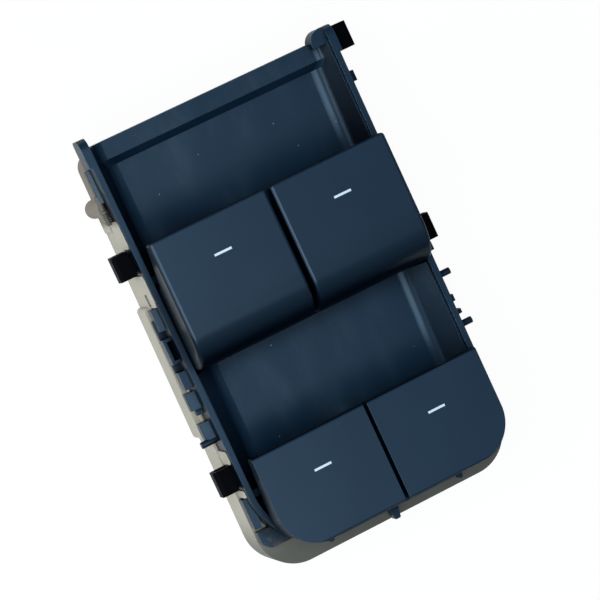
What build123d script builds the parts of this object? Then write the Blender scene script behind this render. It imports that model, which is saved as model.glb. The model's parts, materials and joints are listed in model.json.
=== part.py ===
from build123d import *
import os

# Driver's door window switch with four rocker keys, in millimetres.
# +X points to the right-hand keys, +Y to the header end and +Z up.
# The origin is the middle of the flat underside of the lower housing.

# Bezel rim
RIM_HEIGHT = 22.0
HEADER_Y = 50.5
REAR_Y = -46.5
HEADER_HALF_WIDTH = 29.7
REAR_NARROWING = 0.45
RIM_WALL = 1.3
REAR_RADIUS = 16.0
FRONT_RADIUS = 1.5

# Lower housing
HOUSING_FRONT_SET_IN = 0.6
HOUSING_REAR_STAND_OUT = 1.05
HOUSING_FRONT_SET_BACK = 1.1
HOUSING_REAR_REACH = 3.25
HOUSING_TOP = 14.0
HOUSING_WALL = 1.6
HOUSING_FRONT_RADIUS = 3.5
HOUSING_REAR_RADIUS = 9.2
HOUSING_FOOT_FILLET = 3.0
SHELF_THICKNESS = 1.6
SEAT_WIDTH = 1.25
SPRING_SHELF_GAP = 0.2

# Finger wells
HEADER_LEDGE_LENGTH = 4.0
HEADER_STEP_LENGTH = 1.6
FRONT_WELL_LENGTH = 17.2
HEADER_DEPTH = 4.0
WELL_START_DEPTH = 6.0
WELL_END_DEPTH = 8.5
LEDGE_SIDE = 3.5
WELL_SIDE = 4.7
SECOND_WELL_NARROWING = 1.6
WELL_CORNER = 3.0
WELL_WALL_TOP = 0.5
TRAY_WALL = 1.6
TRAY_SIDE_SHARE = 0.75
TRAY_BACK_HEIGHT = 1.0
TRAY_KEY_GAP = 1.0
TRAY_FOOT_REACH = 3.6
TRAY_FOOT_THICKNESS = 1.0
TRAY_FOOT_ABOVE_DECK = 0.7
CUT_OVER = 1.0

# Keys
PIVOT_DEPTH = 3.0
KEY_GAP = 0.9
FRONT_SIDE_GAP = 0.2
REAR_SIDE_GAP = 0.95
KEY_WALL = 1.5
KEY_TOP_WALL = 1.8
KEY_SKIRT_DEPTH = 7.5
LIP_THICKNESS = 3.2
LIP_OVERHANG = 9.9
LIP_ROOT_RISE = 2.0
LIP_ROOT_RADIUS = 2.2
LIP_EDGE_FILLET = 0.5
KEY_EDGE_FILLET = 0.6
KEY_FOOT_FILLET = 0.3
KEY_PLAN_CORNER = 0.8
KEY_HOLLOW_CORNER = 0.5
FRONT_KEY_LENGTH = 29.2
FRONT_PIVOT_IN = 7.5
FRONT_TOP = 10.5
ROLL_RADIUS = 8.6
SKIRT_GAP = 0.8
REAR_END_GAP = 1.6
REAR_KEY_LENGTH = 22.7
REAR_PIVOT_IN = 7.0
REAR_TOP = 8.5
REAR_KEY_CORNER = 9.0
REAR_STEP_HEIGHT = 1.2
REAR_STEP_IN = 1.2
REAR_LOWER_CORNER = 13.0

# Dashes and their light guides
DASH_WIDTH = 4.0
DASH_LENGTH = 0.5
DASH_BEHIND_LIP = 8.05
GUIDE_TOP_DROP = 2.4
GUIDE_HEIGHT = 1.8
GUIDE_REACH = 1.5
DASH_CLEARANCE = 0.03

# Pivots, legs and sliders
PEG_RADIUS = 2.0
PEG_CLEARANCE = 0.06
PEG_LENGTH = 2.1
LUG_RADIUS = 3.4
LUG_THICKNESS = 1.6
LUG_GAP = 0.35
LUG_INTO_TOP = 0.3
CAM_DROP = 4.5
CAM_HALF_WIDTH = 2.04
CAM_ROOT_DROP = 2.55
CAM_NOSE_RADIUS = 0.5
TOWER_WIDTH = 9.0
TOWER_DEPTH = 5.6
TOWER_WALL = 1.0
TOWER_OVER_PIVOT = 2.9
LEG_WIDTH = 3.0
LEG_DEPTH = 1.6
LEG_RADIUS = 10.3
BALL_RADIUS = 1.3
BALL_CLEARANCE = 0.05
SLIDER_WIDTH = 8.0
SLIDER_DEPTH = 9.0
SLIDER_SET_BACK = 1.9
SLIDER_HEIGHT = 2.5
SLIDER_CLEARANCE = 0.1
SLIDER_SLOT_END_GAP = 0.3
SLIDER_CHAMFER = 0.6
SLIDER_TRAVEL = 1.4

# Carrier deck
DECK_BOTTOM = 10.0
DECK_THICKNESS = 1.5
DECK_SIDE_GAP = 0.4
DECK_END_MARGIN = 8.2
DECK_FRONT_SET_BACK = 1.0
DECK_CORNER = 1.5
RAIL_WALL = 1.2
RAIL_ABOVE_BOARD = 0.3
CARRIER_POST_RADIUS = 1.5
CARRIER_POST_IN = 2.0
CARRIER_POST_OFF = 8.5
LAMP_HOLE_RADIUS = 0.75
LAMP_BEHIND_WALL = 0.8

# Return springs
SPRING_THICKNESS = 0.35
SPRING_WIDTH = 3.2
SPRING_FOOT_OUT = 6.4
SPRING_FOOT_IN = 4.6
SPRING_SHOULDER_OUT = 2.7
SPRING_DIP = 0.9
SPRING_CAM_GAP = 0.15
SPRING_SIDE_GAP = 0.1

# Wiper fingers, measured from the middle of the carriage
FINGER_SHARE = 0.36
STRIP_HALF_LENGTH = 4.2
STRIP_TIE_LENGTH = 1.2
FINGER_ROOT = 2.2
FINGER_KNEE = 1.2
FINGER_HEEL = 0.9
FINGER_TOE = 0.5
FINGER_TIP = 0.1
FINGER_TIP_RISE = 0.5
WIPER_THICKNESS = 0.2
WIPER_WIDTH = 1.0
WIPER_GAP = 0.06

# Board
BOARD_THICKNESS = 1.6
BOARD_BOTTOM = 4.5
BOARD_SIDE_GAP = 0.2
BOARD_REAR_GAP = 2.15
BOARD_CORNER = 2.0
POST_RADIUS = 2.0
POST_IN = 2.5
POST_FROM_REAR = 3.0
POST_FROM_FRONT = 4.0
TRACK_THICKNESS = 0.1
TRACK_WIDTH = 1.6
TRACK_LENGTH = 6.0
LAMP_SIZE = 1.4
LAMP_HEIGHT = 0.8
CHIP_SIZE = 7.0
CHIP_HEIGHT = 1.2
CHIP_CHAMFER = 0.2
CHIP_FROM_FRONT = 8.0
SMALL_PART_COUNT = 5
SMALL_PART_PITCH = 2.4
SMALL_PART_OFF = 1.5
SMALL_PART_LENGTH = 1.6
SMALL_PART_WIDTH = 0.8
SMALL_PART_HEIGHT = 0.6

# Connector
SOCKET_LENGTH = 16.1
SOCKET_HALF_WIDTH = 12.5
SOCKET_HALF_HEIGHT = 3.6
SOCKET_WALL = 1.0
SOCKET_BACK_WALL = 2.0
SOCKET_BOARD_GAP = 0.3
SOCKET_WINDOW_GAP = 0.1
PIN_COUNT = 10
PIN_PITCH = 2.0
PIN_SIZE = 0.6
PIN_REACH_IN = 7.0
PIN_ON_BOARD = 3.0

# Screws, their cups in the housing and their bosses under the wells
SCREW_IN = 4.6
SCREW_BEHIND_STEP = 2.9
SCREW_BEHIND_SKIRT = 12.5
SCREW_BOSS_RADIUS = 2.3
SCREW_SHANK_RADIUS = 1.1
SCREW_FIT = 0.05
SCREW_HEAD_RADIUS = 2.1
SCREW_HEAD_HEIGHT = 1.4
SCREW_HEAD_CHAMFER = 0.4
SCREW_POINT_CHAMFER = 0.5
SCREW_CROSS_HALF_LENGTH = 1.4
SCREW_CROSS_HALF_WIDTH = 0.3
SCREW_CROSS_DEPTH = 0.7
SCREW_LENGTH = 7.0
SCREW_BORE_OVER = 0.4
SCREW_CUP_HEIGHT = 8.0
SCREW_CUP_FLOOR = 1.6
SCREW_CUP_RADIUS = 3.4
SCREW_HEAD_GAP = 0.3

# Locating bosses on the sides of the housing, bored right through
SIDE_BOSS_IN = 0.344
SIDE_BOSS_BEHIND_STEP = 7.4
SIDE_BOSS_RADIUS = 2.1
SIDE_BOSS_BORE = 1.1
SIDE_BOSS_TOP = 15.0
SIDE_BULGE_OUT = 0.4
SIDE_BULGE_BEFORE_BOSS = 2.7
SIDE_BULGE_BEHIND_BOSS = 6.0
SIDE_BULGE_BOTTOM = 3.6
SIDE_BULGE_TOP = 11.0
SIDE_BULGE_CORNER = 0.8
SIDE_RELIEF_GAP = 0.2
SIDE_RELIEF_OVER = 1.5

# Raised panels on the sides of the housing
PANEL_BEFORE_PIVOT = 8.3
PANEL_BEHIND_PIVOT = 22.5
PANEL_PROUD = 1.2
PANEL_BOTTOM = 3.6
PANEL_TOP = 12.0
PANEL_CORNER = 0.9

# Side clips and their tongues
CLIP_LENGTH = 5.7
CLIP_REACH = 3.85
CLIP_HEIGHT = 4.2
CLIP_WALL = 0.9
CLIP_GAP = 0.1
CLIP_TOP = 18.6
CLIP_STAND_OFF = 0.3
CLIP_BEND_RADIUS = 0.8
CLIP_EDGE_RADIUS = 0.2
TONGUE_SIDE_GAP = 0.6
CLIPS_LEFT = (25.85, 76.3)
CLIPS_RIGHT = (1.4, 46.4)

# Ladder of tabs on the side walls: middle behind the header, length, reach, top below the rim
LADDER_LEFT = (
    (8.1, 7.6, 0.8, 4.2),
    (39.1, 5.0, 1.1, 2.8),
    (46.5, 15.0, 1.5, 5.6),
    (53.1, 4.0, 1.5, 3.0),
    (57.85, 3.9, 2.1, 4.0),
    (60.5, 1.4, 1.3, 4.6),
    (64.85, 3.9, 2.1, 3.6),
    (84.95, 6.9, 0.8, 3.0),
)
LADDER_RIGHT = (
    (6.9, 4.6, 1.6, 4.4),
    (10.2, 2.4, 2.4, 4.0),
    (50.7, 1.8, 2.5, 4.0),
    (62.85, 1.5, 2.0, 3.6),
    (66.1, 1.0, 2.3, 3.6),
)
TAB_SLOPE = 1.2
TAB_NOSE_RADIUS = 0.3
TAB_BOTTOM = 14.6
PEG_TABS_LEFT = (67.25,)
PEG_TABS_RIGHT = (57.15, 68.85)
TAB_PEG_RADIUS = 0.75
TAB_PEG_REACH = 3.5
TAB_PEG_DEPTH = 5.0
BRACKET_BEHIND_HEADER = 46.15
BRACKET_LENGTH = 5.7
BRACKET_REACH = 1.8
BRACKET_WALL = 0.7
BRACKET_TOP = 19.0
BRACKET_HEIGHT = 3.2
REAR_LUG_IN = 5.5
REAR_LUG_LENGTH = 4.4
REAR_LUG_REACH = 0.7
REAR_LUG_WIDTH = 8.8
REAR_LUG_CORNER = 2.6
REAR_LUG_HEIGHT = 2.4

# Ears beside the header, and the half-round boss in front of the right one
EAR_OVER_HEADER = 2.2
EAR_LENGTH = 6.3
EAR_REACH = 0.6
EAR_HEIGHT = 6.0
EAR_RADIUS = 2.4
EAR_FOOT_RADIUS = 1.0
EAR_BOSS_RADIUS = 2.8
EAR_BOSS_DROP = 1.0

# Pegs along the rear edge: distance from the start of the corner round, side, length, reach
CORNER_PEGS = (
    (2.9, -1, 1.9, 1.0),
    (2.25, 1, 1.6, 1.5),
)
MIDDLE_PEG_X = -1.0
MIDDLE_PEG_LENGTH = 2.6
MIDDLE_PEG_REACH = 3.1
REAR_PEG_DEPTH = 3.0
REAR_PEG_HEIGHT = 2.4
REAR_PEG_TIP_RADIUS = 0.3

# Derived widths
REAR_HALF_WIDTH = HEADER_HALF_WIDTH - REAR_NARROWING
HOUSING_FRONT_HALF_WIDTH = HEADER_HALF_WIDTH - HOUSING_FRONT_SET_IN
HOUSING_REAR_HALF_WIDTH = REAR_HALF_WIDTH + HOUSING_REAR_STAND_OUT
LEDGE_HALF_WIDTH = HEADER_HALF_WIDTH - LEDGE_SIDE
WELL_HALF_WIDTH = HEADER_HALF_WIDTH - WELL_SIDE
SCREW_X = HEADER_HALF_WIDTH - SCREW_IN
DECK_HALF_WIDTH = SCREW_X - SCREW_BOSS_RADIUS - DECK_SIDE_GAP
BOARD_HALF_WIDTH = SCREW_X - SCREW_CUP_RADIUS - BOARD_SIDE_GAP

# Derived places along the part
HOUSING_FRONT_Y = HEADER_Y - HOUSING_FRONT_SET_BACK
HOUSING_REAR_Y = REAR_Y - HOUSING_REAR_REACH
HEADER_LEDGE_END_Y = HEADER_Y - HEADER_LEDGE_LENGTH
HEADER_STEP_END_Y = HEADER_LEDGE_END_Y - HEADER_STEP_LENGTH
FRONT_LIP_Y = HEADER_STEP_END_Y - FRONT_WELL_LENGTH
FRONT_SKIRT_Y = FRONT_LIP_Y - FRONT_KEY_LENGTH
FRONT_PIVOT_Y = FRONT_SKIRT_Y + FRONT_PIVOT_IN
REAR_KEY_END_Y = REAR_Y + REAR_END_GAP
REAR_LIP_Y = REAR_KEY_END_Y + REAR_KEY_LENGTH
REAR_PIVOT_Y = REAR_KEY_END_Y + REAR_PIVOT_IN
FRONT_WALL_Y = FRONT_LIP_Y - LIP_OVERHANG
REAR_WALL_Y = REAR_LIP_Y - LIP_OVERHANG
DECK_FRONT_Y = FRONT_WALL_Y - DECK_FRONT_SET_BACK
SOCKET_BACK_Y = HOUSING_FRONT_Y - SOCKET_LENGTH
BOARD_FRONT_Y = SOCKET_BACK_Y - SOCKET_BOARD_GAP
BOARD_REAR_Y = HOUSING_REAR_Y + HOUSING_WALL + BOARD_REAR_GAP
CHIP_Y = BOARD_FRONT_Y - CHIP_FROM_FRONT
SCREW_FRONT_Y = HEADER_STEP_END_Y - SCREW_BEHIND_STEP
SCREW_REAR_Y = FRONT_SKIRT_Y - SCREW_BEHIND_SKIRT
SIDE_BOSS_Y = HEADER_STEP_END_Y - SIDE_BOSS_BEHIND_STEP
PANEL_FRONT_Y = FRONT_PIVOT_Y + PANEL_BEFORE_PIVOT
PANEL_REAR_Y = FRONT_PIVOT_Y - PANEL_BEHIND_PIVOT
BRACKET_Y = HEADER_Y - BRACKET_BEHIND_HEADER
REAR_LUG_Y = REAR_Y + REAR_LUG_IN
EAR_FRONT_Y = HEADER_Y + EAR_OVER_HEADER

# Derived heights and tray ends
PIVOT_Z = RIM_HEIGHT - PIVOT_DEPTH
BALL_Z = PIVOT_Z - LEG_RADIUS
DECK_TOP = DECK_BOTTOM + DECK_THICKNESS
SLIDER_TOP = DECK_BOTTOM - SLIDER_CLEARANCE
SLIDER_BOTTOM = SLIDER_TOP - SLIDER_HEIGHT
BOARD_TOP = BOARD_BOTTOM + BOARD_THICKNESS
BOARD_MIDDLE = BOARD_BOTTOM + BOARD_THICKNESS / 2
FRONT_TRAY_END_Y = FRONT_WALL_Y + TRAY_KEY_GAP + TRAY_WALL
SECOND_TRAY_START_Y = FRONT_SKIRT_Y - SKIRT_GAP
SECOND_TRAY_END_Y = REAR_WALL_Y + TRAY_KEY_GAP + TRAY_WALL
SCREW_SEAT = SCREW_CUP_HEIGHT - SCREW_CUP_FLOOR
FAR = 80.0


def block(x_from, x_to, y_from, y_to, z_from, z_to):
    """A box between six planes."""
    middle = ((x_from + x_to) / 2, (y_from + y_to) / 2, (z_from + z_to) / 2)
    return Pos(*middle) * Box(x_to - x_from, y_to - y_from, z_to - z_from)


def post(x, y, radius, z_from, z_to):
    """An upright cylinder."""
    return Pos(x, y, (z_from + z_to) / 2) * Cylinder(radius, z_to - z_from)


def axle(x_from, x_to, y, z, radius):
    """A cylinder that lies along X."""
    return Pos((x_from + x_to) / 2, y, z) * Rot(0, 90, 0) * Cylinder(radius, x_to - x_from)


def side_prism(points, radii, x_from, x_to):
    """A side view in Y and Z, with a radius for each corner, pushed along X."""
    outline = FilletPolyline(*points, radius=radii, close=True)
    face = Plane.YZ.offset(x_from) * make_face(outline)
    return extrude(face, x_to - x_from, dir=(1, 0, 0))


def end_prism(points, radii, y_from, y_to):
    """An end view in X and Z, with a radius for each corner, pushed along Y."""
    outline = FilletPolyline(*points, radius=radii, close=True)
    face = Plane.XZ.offset(-y_from) * make_face(outline)
    return extrude(face, y_to - y_from, dir=(0, 1, 0))


def plan_prism(points, radii, z_from, z_to):
    """A plan view with a radius for each corner, pushed upwards."""
    outline = FilletPolyline(*points, radius=radii, close=True)
    face = Plane.XY.offset(z_from) * make_face(outline)
    return extrude(face, z_to - z_from, dir=(0, 0, 1))


def corner_cutter(x, y, radius, z_from, z_to):
    """What is cut away to round an upright corner whose faces look to +X and -Y."""
    waste = block(x - radius, x + radius, y - radius, y + radius, z_from, z_to)
    return waste - post(x - radius, y + radius, radius, z_from - CUT_OVER, z_to + CUT_OVER)


def on_side(side, part):
    """A piece drawn on the right, moved to the left where the side is negative."""
    return part if side > 0 else mirror(part, about=Plane.YZ)


def rim_half_width(y):
    """Half the outer width of the bezel, which narrows to the rear."""
    share = (HEADER_Y - y) / (HEADER_Y - REAR_Y)
    return HEADER_HALF_WIDTH + (REAR_HALF_WIDTH - HEADER_HALF_WIDTH) * share


def well_depth(y, start_y, end_y):
    """Depth of a sloping well floor below the rim."""
    share = (start_y - y) / (start_y - end_y)
    return WELL_START_DEPTH + (WELL_END_DEPTH - WELL_START_DEPTH) * share


def bezel_outline(inset, z_from, z_to, front_y):
    """The bezel's plan, moved inwards by an inset."""
    front = rim_half_width(HEADER_Y) - inset
    rear = rim_half_width(REAR_Y) - inset
    rear_y = REAR_Y + inset
    points = ((-front, front_y), (front, front_y), (rear, rear_y), (-rear, rear_y))
    rear_radius = REAR_RADIUS - inset
    radii = (FRONT_RADIUS, FRONT_RADIUS, rear_radius, rear_radius)
    return plan_prism(points, radii, z_from, z_to)


def well_section(y, depth, floor_half, grow):
    """One cross-section of a finger well, or of its tray where it is grown."""
    top_half = rim_half_width(y) - RIM_WALL + grow
    low_half = floor_half + grow * TRAY_SIDE_SHARE
    floor_z = RIM_HEIGHT - depth - grow
    top_z = RIM_HEIGHT + (0 if grow else CUT_OVER)
    shoulder_z = RIM_HEIGHT - WELL_WALL_TOP
    points = (
        (-top_half, top_z),
        (-top_half, shoulder_z),
        (-low_half, floor_z),
        (low_half, floor_z),
        (top_half, shoulder_z),
        (top_half, top_z),
    )
    corner = min(WELL_CORNER, depth / 2)
    outline = FilletPolyline(*points, radius=(0, 0, corner, corner, 0, 0), close=True)
    return Plane.XZ.offset(-y) * make_face(outline)


def front_well(grow):
    """The well behind the header: ledge, short step and sloping floor."""
    start_y = HEADER_Y + (0 if grow else CUT_OVER)
    stations = (
        (start_y, HEADER_DEPTH, LEDGE_HALF_WIDTH),
        (HEADER_LEDGE_END_Y, HEADER_DEPTH, LEDGE_HALF_WIDTH),
        (HEADER_STEP_END_Y, WELL_START_DEPTH, WELL_HALF_WIDTH),
        (FRONT_TRAY_END_Y - grow, WELL_END_DEPTH, WELL_HALF_WIDTH),
    )
    return loft([well_section(y, depth, half, grow) for y, depth, half in stations], ruled=True)


def second_well(grow):
    """The well between the two pairs of keys, open towards the front skirts."""
    half = WELL_HALF_WIDTH - SECOND_WELL_NARROWING
    start_y = SECOND_TRAY_START_Y + (0 if grow else CUT_OVER)
    start = well_section(start_y, WELL_START_DEPTH, half, grow)
    end = well_section(SECOND_TRAY_END_Y - grow, WELL_END_DEPTH, half, grow)
    return loft([start, end])


def tray_foot():
    """The turned-down front edge of the second tray, which closes the slot under the skirts."""
    half = rim_half_width(SECOND_TRAY_START_Y) - RIM_WALL
    rear = SECOND_TRAY_START_Y - TRAY_FOOT_THICKNESS
    low = DECK_TOP + TRAY_FOOT_ABOVE_DECK
    high = RIM_HEIGHT - TRAY_BACK_HEIGHT
    web = block(-half, half, rear, SECOND_TRAY_START_Y, low, high)
    foot_end = SECOND_TRAY_START_Y + TRAY_FOOT_REACH
    return web + block(-half, half, rear, foot_end, low, low + TRAY_FOOT_THICKNESS)


def wall_tab(side, y, length, reach, top_drop):
    """One wedge-topped tab on a side wall."""
    wall = rim_half_width(y) - RIM_WALL / 2
    out = rim_half_width(y) + reach
    top = RIM_HEIGHT - top_drop
    points = ((wall, TAB_BOTTOM), (out, TAB_BOTTOM), (out, top - TAB_SLOPE), (wall, top))
    radii = (0, 0, TAB_NOSE_RADIUS, 0)
    return on_side(side, end_prism(points, radii, y - length / 2, y + length / 2))


def tab_peg(side, y):
    """A small round peg that stands out of a side wall."""
    wall = rim_half_width(y) - RIM_WALL / 2
    tip = rim_half_width(y) + TAB_PEG_REACH
    return on_side(side, axle(wall, tip, y, RIM_HEIGHT - TAB_PEG_DEPTH, TAB_PEG_RADIUS))


def bracket(side):
    """A loop with a slot between it and the wall, for a locking tooth."""
    wall = rim_half_width(BRACKET_Y) - RIM_WALL / 2
    out = rim_half_width(BRACKET_Y) + BRACKET_REACH
    low = BRACKET_TOP - BRACKET_HEIGHT
    front = BRACKET_Y + BRACKET_LENGTH / 2
    rear = BRACKET_Y - BRACKET_LENGTH / 2
    loop = block(wall, out, rear, front, low, BRACKET_TOP)
    slot_in = rim_half_width(BRACKET_Y)
    slot_out = out - BRACKET_WALL
    slot = block(slot_in, slot_out, rear + BRACKET_WALL, front - BRACKET_WALL, low - CUT_OVER, FAR)
    return on_side(side, loop - slot)


def rear_lug(side):
    """The rounded lug beside the rear corner."""
    out = rim_half_width(REAR_LUG_Y) + REAR_LUG_REACH
    inner = out - REAR_LUG_WIDTH
    front = REAR_LUG_Y + REAR_LUG_LENGTH / 2
    rear = REAR_LUG_Y - REAR_LUG_LENGTH / 2
    points = ((inner, front), (out, front), (out, rear), (inner, rear))
    radii = (0, 0, REAR_LUG_CORNER, 0)
    lug = plan_prism(points, radii, TAB_BOTTOM, TAB_BOTTOM + REAR_LUG_HEIGHT)
    lug -= bezel_outline(RIM_WALL / 2, 0, FAR, HEADER_Y)
    return on_side(side, lug)


def clip_root(y):
    """Where a clip starts, clear of the wall or of the ear."""
    beside_ear = y + CLIP_LENGTH / 2 > EAR_FRONT_Y - EAR_LENGTH
    return rim_half_width(y) + CLIP_STAND_OFF + (EAR_REACH if beside_ear else 0)


def clip_tongue(side, y):
    """The tongue of the bezel that carries a folded clip."""
    wall = rim_half_width(y) - RIM_WALL / 2
    out = clip_root(y) + CLIP_REACH - CLIP_WALL - CLIP_GAP
    low = CLIP_TOP - CLIP_HEIGHT + CLIP_WALL + CLIP_GAP
    high = CLIP_TOP - CLIP_WALL - CLIP_GAP
    half = CLIP_LENGTH / 2 - TONGUE_SIDE_GAP
    return on_side(side, block(wall, out, y - half, y + half, low, high))


def ear(side):
    """The rounded ear that carries the wall past the header."""
    wall = HEADER_HALF_WIDTH - RIM_WALL
    out = HEADER_HALF_WIDTH + EAR_REACH
    rear = EAR_FRONT_Y - EAR_LENGTH
    low = RIM_HEIGHT - EAR_HEIGHT
    points = ((rear, low), (EAR_FRONT_Y, low), (EAR_FRONT_Y, RIM_HEIGHT), (rear, RIM_HEIGHT))
    radii = (0, EAR_FOOT_RADIUS, EAR_RADIUS, 0)
    return on_side(side, side_prism(points, radii, wall, out))


def ear_boss():
    """The half-round boss on the header edge beside the right ear."""
    x = HEADER_HALF_WIDTH + EAR_REACH - EAR_BOSS_RADIUS
    y = EAR_FRONT_Y - EAR_BOSS_RADIUS
    back = HEADER_Y - RIM_WALL
    low = RIM_HEIGHT - EAR_HEIGHT
    boss = post(x, y, EAR_BOSS_RADIUS, low, RIM_HEIGHT - EAR_BOSS_DROP)
    return boss - block(0, FAR, 0, back, 0, FAR)


def rear_pegs():
    """The pegs on the rear wall: one near the middle and one at the start of each corner round."""
    straight = REAR_HALF_WIDTH - REAR_RADIUS
    pegs = rear_peg(MIDDLE_PEG_X, MIDDLE_PEG_LENGTH, MIDDLE_PEG_REACH)
    for past, side, length, reach in CORNER_PEGS:
        pegs += rear_peg(side * (straight + past), length, reach)
    return pegs


def rear_peg(x, length, reach):
    """A peg on the rear wall, pointed in plan."""
    root = REAR_Y + RIM_WALL / 2
    tip = REAR_Y - reach
    points = (
        (x - length / 2, root),
        (x + length / 2, root),
        (x + length / 4, tip),
        (x - length / 4, tip),
    )
    top = RIM_HEIGHT - REAR_PEG_DEPTH
    radii = (0, 0, REAR_PEG_TIP_RADIUS, REAR_PEG_TIP_RADIUS)
    return plan_prism(points, radii, top - REAR_PEG_HEIGHT, top)


def screw_places():
    """Where the four housing screws stand."""
    return [(side * SCREW_X, y) for side in (-1, 1) for y in (SCREW_FRONT_Y, SCREW_REAR_Y)]


def boss_top(y):
    """A height inside the tray floor above a screw boss."""
    if y > FRONT_TRAY_END_Y:
        depth = well_depth(y, HEADER_STEP_END_Y, FRONT_TRAY_END_Y)
    else:
        depth = well_depth(y, SECOND_TRAY_START_Y, SECOND_TRAY_END_Y)
    return RIM_HEIGHT - depth - TRAY_WALL / 2


def make_shell():
    """The bezel's rim wall and well trays, before anything is added outside."""
    wall = bezel_outline(0, HOUSING_TOP, RIM_HEIGHT, HEADER_Y)
    inner_front = HEADER_Y - RIM_WALL
    wall -= bezel_outline(RIM_WALL, HOUSING_TOP - CUT_OVER, RIM_HEIGHT + CUT_OVER, inner_front)
    limits = bezel_outline(0, 0, FAR, HEADER_Y)
    shell = wall + (front_well(TRAY_WALL) & limits) + (second_well(TRAY_WALL) & limits)
    for x, y in screw_places():
        shell += post(x, y, SCREW_BOSS_RADIUS, SCREW_CUP_HEIGHT, boss_top(y))
    shell += tray_foot()
    shell -= front_well(0) + second_well(0)
    back_cut = RIM_HEIGHT - TRAY_BACK_HEIGHT
    shell -= bezel_outline(RIM_WALL, back_cut, FAR, HEADER_Y + FRONT_RADIUS)
    bore_top = SCREW_SEAT + SCREW_LENGTH + SCREW_BORE_OVER
    for x, y in screw_places():
        shell -= post(x, y, SCREW_SHANK_RADIUS + SCREW_FIT, 0, bore_top)
    return shell


def make_bezel():
    """The one-piece bezel with its rims, wells, tabs, ears and bosses."""
    bezel = make_shell()
    for side, tabs in ((-1, LADDER_LEFT), (1, LADDER_RIGHT)):
        for behind, length, reach, top_drop in tabs:
            bezel += wall_tab(side, HEADER_Y - behind, length, reach, top_drop)
        bezel += rear_lug(side)
        bezel += ear(side)
    bezel += bracket(-1)
    bezel += ear_boss()
    for side, pegs in ((-1, PEG_TABS_LEFT), (1, PEG_TABS_RIGHT)):
        for behind in pegs:
            bezel += tab_peg(side, HEADER_Y - behind)
    for side, places in ((-1, CLIPS_LEFT), (1, CLIPS_RIGHT)):
        for behind in places:
            bezel += clip_tongue(side, HEADER_Y - behind)
    bezel += rear_pegs()
    for side in (-1, 1):
        relief = SIDE_BOSS_RADIUS + SIDE_RELIEF_GAP
        bezel -= post(side * side_boss_x(), SIDE_BOSS_Y, relief, 0, SIDE_BOSS_TOP + SIDE_RELIEF_OVER)
    return bezel


def make_clip(y):
    """One folded clip, closed at the outer end and open towards the wall."""
    inner = clip_root(y)
    out = inner + CLIP_REACH
    low = CLIP_TOP - CLIP_HEIGHT
    points = (
        (inner, CLIP_TOP),
        (out, CLIP_TOP),
        (out, low),
        (inner, low),
        (inner, low + CLIP_WALL),
        (out - CLIP_WALL, low + CLIP_WALL),
        (out - CLIP_WALL, CLIP_TOP - CLIP_WALL),
        (inner, CLIP_TOP - CLIP_WALL),
    )
    bend = CLIP_BEND_RADIUS
    edge = CLIP_EDGE_RADIUS
    radii = (edge, bend, bend, edge, edge, 0, 0, edge)
    return end_prism(points, radii, y - CLIP_LENGTH / 2, y + CLIP_LENGTH / 2)


def make_clips():
    """The four side clips."""
    left = [on_side(-1, make_clip(HEADER_Y - behind)) for behind in CLIPS_LEFT]
    right = [make_clip(HEADER_Y - behind) for behind in CLIPS_RIGHT]
    return Compound(children=left + right)


def housing_half_width(y):
    """Half the width of the lower housing, which widens to the rear."""
    share = (HOUSING_FRONT_Y - y) / (HOUSING_FRONT_Y - HOUSING_REAR_Y)
    return HOUSING_FRONT_HALF_WIDTH + (HOUSING_REAR_HALF_WIDTH - HOUSING_FRONT_HALF_WIDTH) * share


def side_boss_x():
    """How far out a locating boss stands, on the side wall of the housing."""
    return housing_half_width(SIDE_BOSS_Y) - SIDE_BOSS_IN


def housing_outline(inset, z_from, z_to):
    """The housing's plan with its rounded corners, moved inwards by an inset."""
    front = HOUSING_FRONT_HALF_WIDTH - inset
    rear = HOUSING_REAR_HALF_WIDTH - inset
    front_y = HOUSING_FRONT_Y - inset
    rear_y = HOUSING_REAR_Y + inset
    points = ((-front, front_y), (front, front_y), (rear, rear_y), (-rear, rear_y))
    front_radius = HOUSING_FRONT_RADIUS - inset / 2
    rear_radius = HOUSING_REAR_RADIUS - inset
    return plan_prism(points, (front_radius, front_radius, rear_radius, rear_radius), z_from, z_to)


def side_pad(side, reach, y_from, y_to, z_from, z_to, corner):
    """A low pad on a side wall of the housing, rounded at its upright edges."""
    rear = housing_half_width(y_from)
    front = housing_half_width(y_to)
    sunk = HOUSING_WALL / 2
    points = ((rear - sunk, y_from), (rear + reach, y_from), (front + reach, y_to), (front - sunk, y_to))
    return on_side(side, plan_prism(points, (0, corner, corner, 0), z_from, z_to))


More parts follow.
